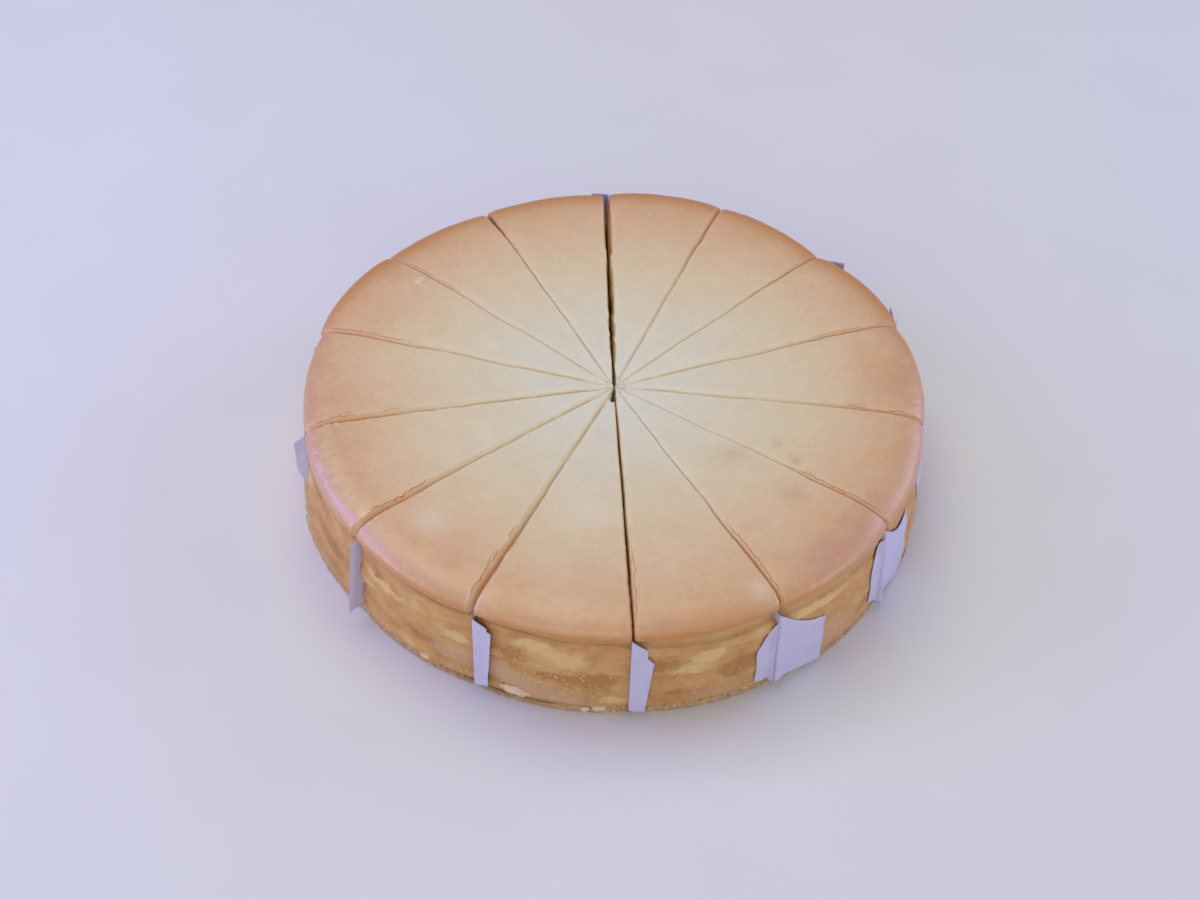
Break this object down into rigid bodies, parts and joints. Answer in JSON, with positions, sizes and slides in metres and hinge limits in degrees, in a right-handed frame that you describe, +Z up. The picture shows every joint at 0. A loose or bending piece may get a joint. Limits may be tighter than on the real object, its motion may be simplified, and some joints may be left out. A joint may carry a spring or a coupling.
{
  "type": "new york cheesecake",
  "caption": "Round baked cheesecake with a rolled golden rim on a thin crumb base, cut into slices that keep the whole's shape, with folded paper slips in the cuts.",
  "frame": {"origin": "on the cake's axis, at the underside of the crumb base that it stands on", "axes": "+Z up out of the baked top, -Y towards the viewer of the picture, +X to that viewer's right"},
  "size_m": [0.262, 0.2556, 0.0553],
  "materials": {
    "baked_filling": "satin baked skin",
    "crumb_base": "rough crumb",
    "waxed_paper": "waxed, translucent"
  },
  "bodies": {
    "root": {"filling_01": "baked_filling", "filling_02": "baked_filling", "filling_03": "baked_filling", "filling_04": "baked_filling", "filling_05": "baked_filling", "filling_06": "baked_filling", "filling_07": "baked_filling", "filling_08": "baked_filling", "filling_09": "baked_filling", "filling_10": "baked_filling", "filling_11": "baked_filling", "filling_12": "baked_filling", "filling_13": "baked_filling", "filling_14": "baked_filling", "crumb_base_01": "crumb_base", "crumb_base_02": "crumb_base", "crumb_base_03": "crumb_base", "crumb_base_04": "crumb_base", "crumb_base_05": "crumb_base", "crumb_base_06": "crumb_base", "crumb_base_07": "crumb_base", "crumb_base_08": "crumb_base", "crumb_base_09": "crumb_base", "crumb_base_10": "crumb_base", "crumb_base_11": "crumb_base", "crumb_base_12": "crumb_base", "crumb_base_13": "crumb_base", "crumb_base_14": "crumb_base", "paper_slip_01": "waxed_paper", "paper_slip_02": "waxed_paper", "paper_slip_03": "waxed_paper", "paper_slip_04": "waxed_paper", "paper_slip_05": "waxed_paper", "paper_slip_06": "waxed_paper", "paper_slip_07": "waxed_paper", "paper_slip_08": "waxed_paper", "paper_slip_09": "waxed_paper", "paper_slip_10": "waxed_paper", "paper_slip_11": "waxed_paper", "paper_slip_12": "waxed_paper", "paper_slip_13": "waxed_paper", "paper_slip_14": "waxed_paper"}
  },
  "joints": []
}
